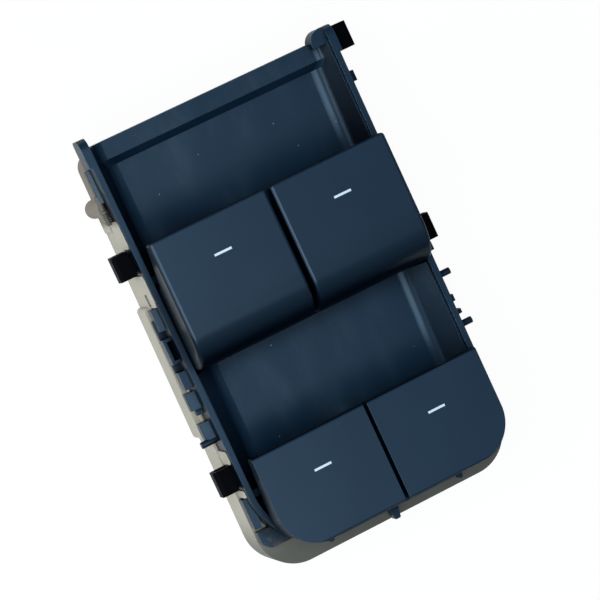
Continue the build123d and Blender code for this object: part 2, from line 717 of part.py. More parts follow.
def make_housing():
    """The lower tub with its shelf, pads, board posts, screw cups and bored bosses."""
    wall = HOUSING_WALL
    tub = housing_outline(0, 0, HOUSING_TOP)
    tub = fillet(tub.faces().sort_by(Axis.Z)[0].edges(), HOUSING_FOOT_FILLET)
    bulge_rear = SIDE_BOSS_Y - SIDE_BULGE_BEHIND_BOSS
    bulge_front = SIDE_BOSS_Y + SIDE_BULGE_BEFORE_BOSS
    for side in (-1, 1):
        tub += side_pad(side, SIDE_BULGE_OUT, bulge_rear, bulge_front,
                        SIDE_BULGE_BOTTOM, SIDE_BULGE_TOP, SIDE_BULGE_CORNER)
        tub += side_pad(side, PANEL_PROUD, PANEL_REAR_Y, PANEL_FRONT_Y,
                        PANEL_BOTTOM, PANEL_TOP, PANEL_CORNER)
    tub -= housing_outline(wall, wall, HOUSING_TOP - SHELF_THICKNESS)
    opening_low = HOUSING_TOP - SHELF_THICKNESS - CUT_OVER
    tub -= bezel_outline(SEAT_WIDTH, opening_low, FAR, HEADER_Y - RIM_WALL - SHELF_THICKNESS)
    for row in rows():
        near = spring_start(row) - SPRING_SHELF_GAP
        far = spring_start(row) + SPRING_WIDTH + SPRING_SHELF_GAP
        rear = row["pivot"] - SPRING_FOOT_IN
        front = row["pivot"] + SPRING_FOOT_IN
        for side in (-1, 1):
            tub -= on_side(side, block(near, far, rear, front, opening_low, FAR))
    for side in (-1, 1):
        tub += post(side * side_boss_x(), SIDE_BOSS_Y, SIDE_BOSS_RADIUS, 0, SIDE_BOSS_TOP)
        tub -= post(side * side_boss_x(), SIDE_BOSS_Y, SIDE_BOSS_BORE, -CUT_OVER, FAR)
    post_ys = (BOARD_REAR_Y + POST_FROM_REAR, (BOARD_REAR_Y + BOARD_FRONT_Y) / 2,
               BOARD_FRONT_Y - POST_FROM_FRONT)
    for x in (POST_IN - BOARD_HALF_WIDTH, BOARD_HALF_WIDTH - POST_IN):
        for y in post_ys:
            tub += post(x, y, POST_RADIUS, wall, BOARD_BOTTOM)
    for x, y in screw_places():
        tub += post(x, y, SCREW_CUP_RADIUS, 0, SCREW_CUP_HEIGHT)
        tub -= post(x, y, SCREW_HEAD_RADIUS + SCREW_HEAD_GAP, -CUT_OVER, SCREW_SEAT)
        tub -= post(x, y, SCREW_SHANK_RADIUS + SCREW_HEAD_GAP, -CUT_OVER, FAR)
    half_wide = SOCKET_HALF_WIDTH + SOCKET_WINDOW_GAP
    half_high = SOCKET_HALF_HEIGHT + SOCKET_WINDOW_GAP
    tub -= block(-half_wide, half_wide, HOUSING_FRONT_Y - wall - CUT_OVER, HOUSING_FRONT_Y + CUT_OVER,
                 BOARD_MIDDLE - half_high, BOARD_MIDDLE + half_high)
    return tub


def make_screw(x, y):
    """One tapping screw with a crossed recess, its head in the cup."""
    head_low = SCREW_SEAT - SCREW_HEAD_HEIGHT
    head = post(x, y, SCREW_HEAD_RADIUS, head_low, SCREW_SEAT)
    head = chamfer(head.edges().sort_by(Axis.Z)[0], SCREW_HEAD_CHAMFER)
    shank = post(x, y, SCREW_SHANK_RADIUS, SCREW_SEAT, SCREW_SEAT + SCREW_LENGTH)
    shank = chamfer(shank.edges().sort_by(Axis.Z)[-1], SCREW_POINT_CHAMFER)
    deep = head_low + SCREW_CROSS_DEPTH
    long = SCREW_CROSS_HALF_LENGTH
    thin = SCREW_CROSS_HALF_WIDTH
    cross = block(x - thin, x + thin, y - long, y + long, 0, deep)
    cross += block(x - long, x + long, y - thin, y + thin, 0, deep)
    return head + shank - cross


def make_screws():
    """The four tapping screws that hold the housing to the bezel."""
    return Compound(children=[make_screw(x, y) for x, y in screw_places()])


def rows():
    """The places and heights of the two pairs of keys."""
    front_half = rim_half_width(FRONT_SKIRT_Y) - RIM_WALL - FRONT_SIDE_GAP
    rear_half = rim_half_width(REAR_LIP_Y) - RIM_WALL - REAR_SIDE_GAP
    front = {
        "name": "front", "lip": FRONT_LIP_Y, "end": FRONT_SKIRT_Y, "wall": FRONT_WALL_Y,
        "pivot": FRONT_PIVOT_Y, "top": RIM_HEIGHT + FRONT_TOP, "outer": front_half,
    }
    rear = {
        "name": "rear", "lip": REAR_LIP_Y, "end": REAR_KEY_END_Y, "wall": REAR_WALL_Y,
        "pivot": REAR_PIVOT_Y, "top": RIM_HEIGHT + REAR_TOP, "outer": rear_half,
    }
    return front, rear


def key_middle(row):
    """The distance of a key's middle from the middle plane."""
    return (KEY_GAP / 2 + row["outer"]) / 2


def front_shell(row):
    """The hollow moulding of a front key, with a lip in front and a rolled skirt behind."""
    inner, outer = KEY_GAP / 2, row["outer"]
    lip, wall, end, top = row["lip"], row["wall"], row["end"], row["top"]
    low = RIM_HEIGHT - KEY_SKIRT_DEPTH
    points = (
        (lip, top - LIP_THICKNESS),
        (lip, top),
        (end, top),
        (end, low),
        (wall, low),
        (wall, RIM_HEIGHT + LIP_ROOT_RISE),
    )
    foot = KEY_FOOT_FILLET
    radii = (LIP_EDGE_FILLET, KEY_EDGE_FILLET, ROLL_RADIUS, foot, foot, LIP_ROOT_RADIUS)
    shell = side_prism(points, radii, inner, outer)
    shell = fillet(shell.edges().filter_by(Axis.Z).sort_by(Axis.Y)[-2:], KEY_PLAN_CORNER)
    ceiling = top - KEY_TOP_WALL
    hollow = (
        (wall - KEY_WALL, ceiling),
        (end + KEY_WALL, ceiling),
        (end + KEY_WALL, low - CUT_OVER),
        (wall - KEY_WALL, low - CUT_OVER),
    )
    radii = (KEY_HOLLOW_CORNER, ROLL_RADIUS - KEY_WALL, 0, 0)
    return shell - side_prism(hollow, radii, inner + KEY_WALL, outer - KEY_WALL)


def rear_shell(row):
    """The hollow moulding of a rear key, with a lip in front and a step over the rim behind."""
    inner, outer = KEY_GAP / 2, row["outer"]
    lip, wall, end, top = row["lip"], row["wall"], row["end"], row["top"]
    low = RIM_HEIGHT - KEY_SKIRT_DEPTH
    step = end + REAR_STEP_IN
    step_z = RIM_HEIGHT + REAR_STEP_HEIGHT
    points = (
        (lip, top - LIP_THICKNESS),
        (lip, top),
        (end, top),
        (end, step_z),
        (step, step_z),
        (step, low),
        (wall, low),
        (wall, RIM_HEIGHT + LIP_ROOT_RISE),
    )
    foot = KEY_FOOT_FILLET
    radii = (LIP_EDGE_FILLET, KEY_EDGE_FILLET, KEY_EDGE_FILLET, foot, foot, foot, foot, LIP_ROOT_RADIUS)
    shell = side_prism(points, radii, inner, outer)
    shell -= corner_cutter(outer, end, REAR_KEY_CORNER, step_z, FAR)
    shell -= corner_cutter(outer, step, REAR_LOWER_CORNER, 0, step_z)
    hollow = (
        (inner + KEY_WALL, step + KEY_WALL),
        (outer - KEY_WALL, step + KEY_WALL),
        (outer - KEY_WALL, wall - KEY_WALL),
        (inner + KEY_WALL, wall - KEY_WALL),
    )
    edge = KEY_HOLLOW_CORNER
    reach = wall - step - 2 * KEY_WALL - edge
    round_corner = min(REAR_LOWER_CORNER - KEY_WALL, reach - edge)
    cavity = plan_prism(hollow, (edge, round_corner, edge, edge), 0, top - KEY_TOP_WALL)
    return shell - cavity


def bearing_lug(x_from, x_to, pivot_y, ceiling):
    """A bearing lug of a key with the cam nose under it, before it is bored."""
    lug = block(x_from, x_to, pivot_y - LUG_RADIUS, pivot_y + LUG_RADIUS, PIVOT_Z, ceiling)
    lug += axle(x_from, x_to, pivot_y, PIVOT_Z, LUG_RADIUS)
    cam_root = PIVOT_Z - CAM_ROOT_DROP
    nose = (
        (pivot_y - CAM_HALF_WIDTH, cam_root),
        (pivot_y, PIVOT_Z - CAM_DROP),
        (pivot_y + CAM_HALF_WIDTH, cam_root),
    )
    return lug + side_prism(nose, (0, CAM_NOSE_RADIUS, 0), x_from, x_to)


def make_key(row):
    """A right-hand key with its bearing lugs, leg and slot for the dash."""
    middle = key_middle(row)
    y = row["pivot"]
    ceiling = row["top"] - KEY_TOP_WALL + LUG_INTO_TOP
    key = front_shell(row) if row["name"] == "front" else rear_shell(row)
    near = TOWER_WIDTH / 2 + LUG_GAP
    far = near + LUG_THICKNESS
    for x_from, x_to in ((middle - far, middle - near), (middle + near, middle + far)):
        key += bearing_lug(x_from, x_to, y, ceiling)
        key -= axle(x_from, x_to, y, PIVOT_Z, PEG_RADIUS + PEG_CLEARANCE)
    half = LEG_WIDTH / 2
    key += block(middle - half, middle + half, y - LEG_DEPTH / 2, y + LEG_DEPTH / 2, BALL_Z, ceiling)
    key += axle(middle - half, middle + half, y, BALL_Z, BALL_RADIUS)
    return key - light_guide(row, DASH_CLEARANCE)


def light_guide(row, grow=0.0):
    """The light guide: its upright blade is the dash, its arm ends over the lamp."""
    middle = key_middle(row)
    front = row["lip"] - DASH_BEHIND_LIP + DASH_LENGTH / 2 + grow
    rear = front - DASH_LENGTH - 2 * grow
    end = row["wall"] - KEY_WALL - GUIDE_REACH - grow
    top = row["top"] + grow
    arm_top = row["top"] - GUIDE_TOP_DROP + grow
    arm_low = row["top"] - GUIDE_TOP_DROP - GUIDE_HEIGHT - grow
    slope = GUIDE_HEIGHT / 2
    points = ((front, arm_low), (front, top), (rear, top), (rear, arm_top),
              (end + slope, arm_top), (end, arm_low + slope), (end, arm_low))
    half = DASH_WIDTH / 2 + grow
    return side_prism(points, (0,) * len(points), middle - half, middle + half)


def lamp_y(row):
    """Where the lamp of a key stands, under the end of its light guide."""
    return row["wall"] - KEY_WALL - LAMP_BEHIND_WALL


def carriage_y(row):
    """The middle of a contact carriage."""
    return row["pivot"] - SLIDER_SET_BACK


def make_slider(row):
    """A contact carriage with a slot for the ball of the leg."""
    middle = key_middle(row)
    half_x = SLIDER_WIDTH / 2
    half_y = SLIDER_DEPTH / 2
    y = carriage_y(row)
    body = block(middle - half_x, middle + half_x, y - half_y, y + half_y, SLIDER_BOTTOM, SLIDER_TOP)
    body = chamfer(body.edges().filter_by(Axis.Z), SLIDER_CHAMFER)
    slot_x = LEG_WIDTH / 2 + SLIDER_SLOT_END_GAP
    slot_y = BALL_RADIUS + BALL_CLEARANCE
    ball_y = row["pivot"]
    return body - block(middle - slot_x, middle + slot_x, ball_y - slot_y, ball_y + slot_y, 0, FAR)


def make_contact(row):
    """Two arched wiper fingers on one strip under a carriage."""
    middle = key_middle(row)
    y = carriage_y(row)
    top = SLIDER_BOTTOM
    thick = WIPER_THICKNESS
    low = BOARD_TOP + TRACK_THICKNESS + WIPER_GAP
    under = top - thick
    points = (
        (y - STRIP_HALF_LENGTH, under),
        (y - STRIP_HALF_LENGTH, top),
        (y + STRIP_HALF_LENGTH, top),
        (y + STRIP_HALF_LENGTH, under),
        (y + FINGER_ROOT, under),
        (y + FINGER_KNEE, low + thick),
        (y + FINGER_HEEL, low),
        (y + FINGER_TOE, low),
        (y + FINGER_TIP, low + FINGER_TIP_RISE),
        (y + FINGER_TIP + thick, low + FINGER_TIP_RISE + thick),
        (y + FINGER_TOE + thick, low + thick),
        (y + FINGER_ROOT - FINGER_TOE, under),
    )
    reach = SLIDER_WIDTH * FINGER_SHARE
    half = WIPER_WIDTH / 2
    tie_end = y - STRIP_HALF_LENGTH + STRIP_TIE_LENGTH
    contact = block(middle - reach, middle + reach, y - STRIP_HALF_LENGTH, tie_end, under, top)
    for x in (middle - reach, middle + reach):
        contact += side_prism(points, (0,) * len(points), x - half, x + half)
    return contact


def spring_start(row):
    """Where a return spring starts, beside the tower."""
    return key_middle(row) + TOWER_WIDTH / 2 + SPRING_SIDE_GAP


def make_spring(row):
    """A bent leaf whose dip holds the cam nose of the outer lug."""
    y = row["pivot"]
    foot = DECK_TOP + SPRING_THICKNESS / 2
    start = spring_start(row)
    dip = PIVOT_Z - CAM_DROP - SPRING_CAM_GAP - SPRING_THICKNESS / 2
    shoulder = dip + SPRING_DIP
    points = (
        (y - SPRING_FOOT_OUT, foot),
        (y - SPRING_FOOT_IN, foot),
        (y - SPRING_SHOULDER_OUT, shoulder),
        (y, dip),
        (y + SPRING_SHOULDER_OUT, shoulder),
        (y + SPRING_FOOT_IN, foot),
        (y + SPRING_FOOT_OUT, foot),
    )
    leaf = trace(Polyline(*points), line_width=SPRING_THICKNESS)
    return extrude(Plane.YZ.offset(start) * leaf, SPRING_WIDTH, dir=(1, 0, 0))


def tower(middle, y):
    """A hollow pivot tower with a peg on each side and rails for the carriage below."""
    half_x = TOWER_WIDTH / 2
    half_y = TOWER_DEPTH / 2
    top = PIVOT_Z + TOWER_OVER_PIVOT
    piece = block(middle - half_x, middle + half_x, y - half_y, y + half_y, DECK_BOTTOM, top)
    near = half_x - TOWER_WALL / 2
    far = half_x + PEG_LENGTH
    piece += axle(middle - far, middle - near, y, PIVOT_Z, PEG_RADIUS)
    piece += axle(middle + near, middle + far, y, PIVOT_Z, PEG_RADIUS)
    rail_in = SLIDER_WIDTH / 2 + SLIDER_CLEARANCE
    rail_out = rail_in + RAIL_WALL
    rail_half = SLIDER_DEPTH / 2 + SLIDER_TRAVEL
    rail_y = y - SLIDER_SET_BACK
    for x_from, x_to in ((middle - rail_out, middle - rail_in), (middle + rail_in, middle + rail_out)):
        piece += block(x_from, x_to, rail_y - rail_half, rail_y + rail_half,
                       BOARD_TOP + RAIL_ABOVE_BOARD, DECK_BOTTOM)
    return piece


def make_carrier():
    """The deck with its pivot towers, pegs, slider rails and posts."""
    rear = REAR_PIVOT_Y - DECK_END_MARGIN
    carrier = block(-DECK_HALF_WIDTH, DECK_HALF_WIDTH, rear, DECK_FRONT_Y, DECK_BOTTOM, DECK_TOP)
    carrier = fillet(carrier.edges().filter_by(Axis.Z), DECK_CORNER)
    hollow_x = TOWER_WIDTH / 2 - TOWER_WALL
    hollow_y = TOWER_DEPTH / 2 - TOWER_WALL
    for row in rows():
        y = row["pivot"]
        for middle in (-key_middle(row), key_middle(row)):
            carrier += tower(middle, y)
            carrier -= block(middle - hollow_x, middle + hollow_x, y - hollow_y, y + hollow_y, 0, FAR)
            carrier -= post(middle, lamp_y(row), LAMP_HOLE_RADIUS, 0, FAR)
    post_x = DECK_HALF_WIDTH - CARRIER_POST_IN
    post_ys = (REAR_PIVOT_Y + CARRIER_POST_OFF, (REAR_PIVOT_Y + FRONT_PIVOT_Y) / 2,
               DECK_FRONT_Y - CARRIER_POST_IN)
    for x in (-post_x, post_x):
        for y in post_ys:
            carrier += post(x, y, CARRIER_POST_RADIUS, BOARD_TOP, DECK_BOTTOM)
    return carrier


def make_board():
    """The circuit board with rounded corners."""
    board = block(-BOARD_HALF_WIDTH, BOARD_HALF_WIDTH, BOARD_REAR_Y, BOARD_FRONT_Y, BOARD_BOTTOM, BOARD_TOP)
    return fillet(board.edges().filter_by(Axis.Z), BOARD_CORNER)


def on_board(x, y, width, length, height):
    """A flat piece that lies on the board, by its middle."""
    return block(x - width / 2, x + width / 2, y - length / 2, y + length / 2, BOARD_TOP, BOARD_TOP + height)


def make_tracks():
    """Gold tracks under the wiper fingers, two for each carriage."""
    tracks = []
    for row in rows():
        y = carriage_y(row) + (FINGER_HEEL + FINGER_TOE) / 2
        for side in (-1, 1):
            for finger in (-1, 1):
                x = side * key_middle(row) + finger * SLIDER_WIDTH * FINGER_SHARE
                tracks.append(on_board(x, y, TRACK_WIDTH, TRACK_LENGTH, TRACK_THICKNESS))
    return Compound(children=tracks)


def make_lamps():
    """One small lamp on the board below each light guide."""
    lamps = []
    for row in rows():
        for x in (-key_middle(row), key_middle(row)):
            lamps.append(on_board(x, lamp_y(row), LAMP_SIZE, LAMP_SIZE, LAMP_HEIGHT))
    return Compound(children=lamps)


def make_chip():
    """The controller chip."""
    chip = on_board(0, CHIP_Y, CHIP_SIZE, CHIP_SIZE, CHIP_HEIGHT)
    return chamfer(chip.edges().group_by(Axis.Z)[-1], CHIP_CHAMFER)


def make_small_parts():
    """Two files of small parts beside the chip."""
    parts = []
    for side in (-1, 1):
        for index in range(SMALL_PART_COUNT):
            x = side * (CHIP_SIZE / 2 + (index + 1) * SMALL_PART_PITCH)
            y = CHIP_Y + side * SMALL_PART_OFF
            parts.append(on_board(x, y, SMALL_PART_WIDTH, SMALL_PART_LENGTH, SMALL_PART_HEIGHT))
    return Compound(children=parts)


def make_socket():
    """The plug-in socket, open at the front end, with holes for its pins."""
    half_wide = SOCKET_HALF_WIDTH
    half_high = SOCKET_HALF_HEIGHT
    shell = block(-half_wide, half_wide, SOCKET_BACK_Y, HOUSING_FRONT_Y,
                  BOARD_MIDDLE - half_high, BOARD_MIDDLE + half_high)
    half_wide -= SOCKET_WALL
    half_high -= SOCKET_WALL
    shell -= block(-half_wide, half_wide, SOCKET_BACK_Y + SOCKET_BACK_WALL, HOUSING_FRONT_Y + CUT_OVER,
                   BOARD_MIDDLE - half_high, BOARD_MIDDLE + half_high)
    return shell - make_pins()


def make_pins():
    """Two rows of square pins that clasp the end of the board."""
    half = PIN_SIZE / 2
    rear = BOARD_FRONT_Y - PIN_ON_BOARD
    front = SOCKET_BACK_Y + SOCKET_BACK_WALL + PIN_REACH_IN
    pins = []
    for z in (BOARD_TOP + half, BOARD_BOTTOM - half):
        for index in range(PIN_COUNT):
            x = (index - (PIN_COUNT - 1) / 2) * PIN_PITCH
            pins.append(block(x - half, x + half, rear, front, z - half, z + half))
    return Compound(children=pins)


def save(shape, name):
    """Write one node."""
    export_step(shape, os.path.join("parts", name + ".step"))


def main():
    """Make every node and write it."""
    os.makedirs("parts", exist_ok=True)
    save(make_bezel(), "bezel")
    save(make_housing(), "lower_housing")
    save(make_clips(), "side_clips")
    save(make_screws(), "housing_screws")
    save(make_carrier(), "switch_carrier")
    save(make_board(), "circuit_board")
    save(make_tracks(), "contact_tracks")
    save(make_lamps(), "indicator_lamps")
    save(make_chip(), "controller_chip")
    save(make_small_parts(), "board_components")
    save(make_socket(), "connector_socket")
    save(make_pins(), "connector_pins")
    makers = {
        "key": make_key,
        "indicator": light_guide,
        "slider": make_slider,
        "contact": make_contact,
        "return_spring": make_spring,
    }
    for row in rows():
        for name, maker in makers.items():
            piece = maker(row)
            save(on_side(1, piece), f"{name}_{row['name']}_right")
            save(on_side(-1, piece), f"{name}_{row['name']}_left")


main()
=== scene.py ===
import json
import math

import bmesh
import bpy
from bpy.props import FloatProperty, FloatVectorProperty, IntProperty, PointerProperty
from mathutils import Matrix, Vector
from mathutils.bvhtree import BVHTree


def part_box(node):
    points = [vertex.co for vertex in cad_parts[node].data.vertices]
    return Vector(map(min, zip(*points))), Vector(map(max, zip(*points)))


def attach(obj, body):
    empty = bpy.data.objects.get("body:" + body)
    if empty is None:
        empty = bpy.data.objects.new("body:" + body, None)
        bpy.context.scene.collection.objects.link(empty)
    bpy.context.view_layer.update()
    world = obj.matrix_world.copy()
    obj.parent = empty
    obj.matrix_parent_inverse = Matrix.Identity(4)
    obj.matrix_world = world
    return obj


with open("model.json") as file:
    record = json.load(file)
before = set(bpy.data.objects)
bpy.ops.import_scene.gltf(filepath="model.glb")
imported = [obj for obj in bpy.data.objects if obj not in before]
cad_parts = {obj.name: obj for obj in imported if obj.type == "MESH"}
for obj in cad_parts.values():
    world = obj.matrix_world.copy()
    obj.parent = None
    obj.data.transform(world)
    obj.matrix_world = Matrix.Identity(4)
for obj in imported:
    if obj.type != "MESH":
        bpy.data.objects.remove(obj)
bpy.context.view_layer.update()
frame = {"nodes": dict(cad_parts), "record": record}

bl_info = {
    "name": "Window Switch Looks",
    "version": (1, 0, 0),
    "blender": (4, 5, 0),
    "location": "View3D > Sidebar > Window Switch",
    "description": "Finishes, small detail, studio stage and camera of a four-key window switch",
    "category": "Object",
}

MM = 0.001
WHITE = (1.0, 1.0, 1.0)

# The camera stands where the photograph was taken from, in metres
CAMERA_PLACE = (-0.144579, 0.065931, 0.624554)
CAMERA_RIGHT = (0.87294, -0.41785, 0.25174)
CAMERA_VIEW = (0.23026, -0.10201, -0.96777)
CAMERA_REACH = 20.0
SENSOR_MM = 36.0

# Each soft box: its place and its two sides in metres, and its colour
TOP_BOX = ((-0.255, -0.03, 0.80), (0.80, 0.66), (0.80, 0.92, 1.0))
SIDE_BOX = ((-0.62, 0.16, 0.22), (0.5, 0.3), (1.0, 0.97, 0.92))
LAMP_TARGET = (0.0, 0.0, 0.01)

# How white the camera sees the floor, and how the surround brightens with height
FLOOR_WHITE = 0.95
SURROUND_COLOUR = (0.86, 0.93, 1.0)
SURROUND_LOW = 0.05
SURROUND_HIGH = 0.75
HORIZON_SHARE = 0.12

# Gloss of the walls in painted shade, of the faces with painted sheen over them, and the cool tint
# of both
SHADED_WALL_GLOSS = 0.06
BEZEL_GLOSS = 0.38
KEY_GLOSS = 0.42
HOUSING_GLOSS = 0.4
CLIP_GLOSS = 0.02
COOL_TINT = (0.58, 0.80, 1.0)
KEY_TINT = (0.60, 0.80, 1.0)

# Places in metres where a finish or a painted shade changes: low and high end of each change
WELL_TOP = 0.0185
SMEAR_FROM_MIDDLE = (0.020, 0.024)
SMEAR_TO_REAR = (0.037, 0.040)
KEY_ROLL_SHADE = (-0.001, 0.013)
REAR_KEYS_START = -0.004
SHELF_SHADE_TO_REAR = (0.034, 0.0465)
BOSS_SHADE_TO_LEFT = (0.0275, 0.0285)
BOSS_SHADE_TO_FRONT = (0.0325, 0.0345)
FOOT_SHADE = (-0.004, 0.0)

# How far a face looks up, from -1 to 1, where it counts as level, holds dust or gets a painted
# highlight on its edges, and where it turns from the wall in painted shade to the face with
# painted sheen
LEVEL = 0.9
DUST_LEVEL = 0.92
HIGHLIGHT_LEVEL = 0.3
BEZEL_TURN = (0.30, 0.70)
KEY_TURN = (0.50, 0.95)

# Samples of the two nodes that look around a point, and the range that each one keeps
AIR_SAMPLES = 8
AIR_RANGE = (0.35, 0.95)
EDGE_SAMPLES = 6
EDGE_RANGE = (0.06, 0.22)

# Socket ribs, in millimetres
RIB_FLOOR = 1.0
RIB_ROOT = 0.05
RIB_HEIGHT = 0.42
RIB_LENGTH = 5.0
RIB_SET_IN = 0.2
RIB_KEYING = 0.6
RIB_SPAN_SHARE = 0.6
RIB_TOP_SHARE = 0.8

# Side upstands, in millimetres: each starts and ends along Y and has a top
UPSTAND_RUNS = ((14.2, 21.5, 21.2), (27.8, 34.2, 21.2), (-22.7, -19.6, 20.6), (-30.6, -28.9, 20.6))
UPSTAND_STEPS = 16
UPSTAND_FOOT = 13.9
UPSTAND_END_EASE = 0.5
UPSTAND_LIP = ((0.0, 0.25), (0.08, 0.06))
PROBE_START = -60.0
PROBE_HEIGHT = 19.0
WALL_GAP = 0.03

# Side pin, in millimetres along Y, with each radius as a share of the pin's radius
PIN_X = -30.35
PIN_Z = 16.0
PIN_TURNS = 24
PIN_HEAD = ((40.6, 0.55), (40.3, 0.9), (37.1, 0.9), (36.9, 1.25), (36.4, 1.25), (36.2, 0.85))
PIN_RIDGES = 4
PIN_RIDGE_START = 36.0
PIN_RIDGE_PITCH = 0.5
PIN_RIDGE = ((0.0, 0.8), (0.1, 1.0), (0.3, 1.0), (0.4, 0.8))
PIN_TIP = ((33.9, 0.75), (33.7, 0.4))

# Side mark, in millimetres: share of the radius and height above the wall of each ring
MARK_Y = 15.9
MARK_Z = 16.4
MARK_TURNS = 32
MARK_HALF_STRAIGHT = 0.7
MARK_SINK = 0.02
MARK_RINGS = ((1.0, -0.02), (0.92, 0.16), (0.72, 0.16), (0.62, -0.02))


def colour_property(name, text, value):
    """A colour that a user can change."""
    return FloatVectorProperty(name=name, description=text, default=value, size=3,
                               min=0.0, max=1.0, subtype="COLOR")


def length_property(name, text, value):
    """A length that a user can change, in metres."""
    return FloatProperty(name=name, description=text, default=value, min=0.0,
                         precision=5, subtype="DISTANCE", unit="LENGTH")


class SwitchColours(bpy.types.PropertyGroup):
    """Colours of the moulded and metal pieces."""

    # Painted sheen: the lit colour of the bezel's faces that look up
    bezel: colour_property(
        "Bezel", "Charcoal of the bezel's eroded faces", (0.0060, 0.0175, 0.0350))
    # Painted shade: the colour of the bezel's steep walls, corners and gaps
    bezel_shaded_wall: colour_property(
        "Bezel walls", "Near black of the bezel's bare walls", (0.0010, 0.0020, 0.0042))
    # Painted sheen: the lit colour of the key tops
    key: colour_property(
        "Keys", "Soft charcoal of the four key tops", (0.0072, 0.0190, 0.0365))
    # Painted shade: the colour of the keys' steep sides, corners and gaps
    key_shaded_wall: colour_property(
        "Key walls", "Near black of the keys' bare sides", (0.0008, 0.0020, 0.0046))
    cream: colour_property(
        "Housing walls", "Cream side of the greige housing", (0.300, 0.275, 0.222))
    # Painted shade of the rear shelf behind the keys; lightened, it also colours the housing's
    # stains
    taupe: colour_property(
        "Housing shelf", "Taupe of the shelf behind the keys", (0.066, 0.063, 0.050))
    clip: colour_property(
        "Clips", "Deep black of the side clips", (0.0005, 0.0005, 0.0010))
    dash: colour_property(
        "Dashes", "Bluish white of the dashes", (0.54, 0.66, 0.76))
    dust: colour_property(
        "Dust", "Pale dust on the well floors", (0.36, 0.46, 0.52))
    # A real smear on the bezel's rear left corner; on the housing around the left boss this colour
    # is painted shade
    smear: colour_property(
        "Smear", "Brown smear on the rear left corner and the left boss", (0.085, 0.060, 0.036))


class SwitchDetail(bpy.types.PropertyGroup):
    """Sizes of the fine detail."""

    grain: length_property("Grain", "Width of one grain of the moulded skin", 0.00016)
    grain_depth: length_property("Grain depth", "Depth of the moulded grain", 0.000012)
    edge_round: length_property("Edge rounding", "Softness of the moulded edges", 0.00012)
    # Reach of the painted shade in corners and gaps
    corner_reach: length_property("Corner reach", "How far corners and gaps look bare", 0.008)
    rib_width: length_property("Rib width", "Width of the polarising ribs in the socket", 0.0009)
    rib_count: IntProperty(name="Ribs", description="Polarising ribs on the floor of the socket",
                           default=3, min=1, max=6)
    upstand: length_property("Upstand", "Thickness of the housing's side upstands", 0.0003)
    pin_radius: length_property("Pin radius", "Radius of the ridged pin on the left boss", 0.00075)
    mark_radius: length_property("Mark radius", "Half height of the ring on the left side", 0.0008)


class SwitchStage(bpy.types.PropertyGroup):
    """Camera, floor and lamps."""

    lens: FloatProperty(name="Lens", description="Focal length of the camera", default=176.23,
                        min=20.0, unit="CAMERA")
    floor_size: length_property("Floor size", "Side of the pale floor", 6.0)
    top_power: FloatProperty(name="Overhead power", description="Power of the overhead soft box",
                             default=8.6, min=0.0, unit="POWER")
    side_power: FloatProperty(name="Side power", description="Power of the soft box on the left",
                              default=2.9, min=0.0, unit="POWER")
    world_strength: FloatProperty(name="World strength",
                                  description="Strength of the pale surround",
                                  default=0.16, min=0.0)


class Term:
    """One number or colour of a shader, so that its maths reads as plain expressions."""

    def __init__(self, shader, socket):
        self.shader = shader
        self.socket = socket

    def maths(self, operation, first, second=0.0):
        return self.shader.node("ShaderNodeMath", {"operation": operation}, {0: first, 1: second})

    def __add__(self, other):
        return self.maths("ADD", self, other)

    def __radd__(self, other):
        return self.maths("ADD", other, self)

    def __rsub__(self, other):
        return self.maths("SUBTRACT", other, self)

    def __mul__(self, other):
        return self.maths("MULTIPLY", self, other)

    def __rmul__(self, other):
        return self.maths("MULTIPLY", other, self)

    def __gt__(self, other):
        return self.maths("GREATER_THAN", self, other)

    def __lt__(self, other):
        return self.maths("LESS_THAN", self, other)

    def ramp(self, low, high):
        """0 at low and 1 at high, with a smooth way between."""
        return self.shader.node("ShaderNodeMapRange", {"interpolation_type": "SMOOTHSTEP"},
                                {"Value": self, "From Min": low, "From Max": high})


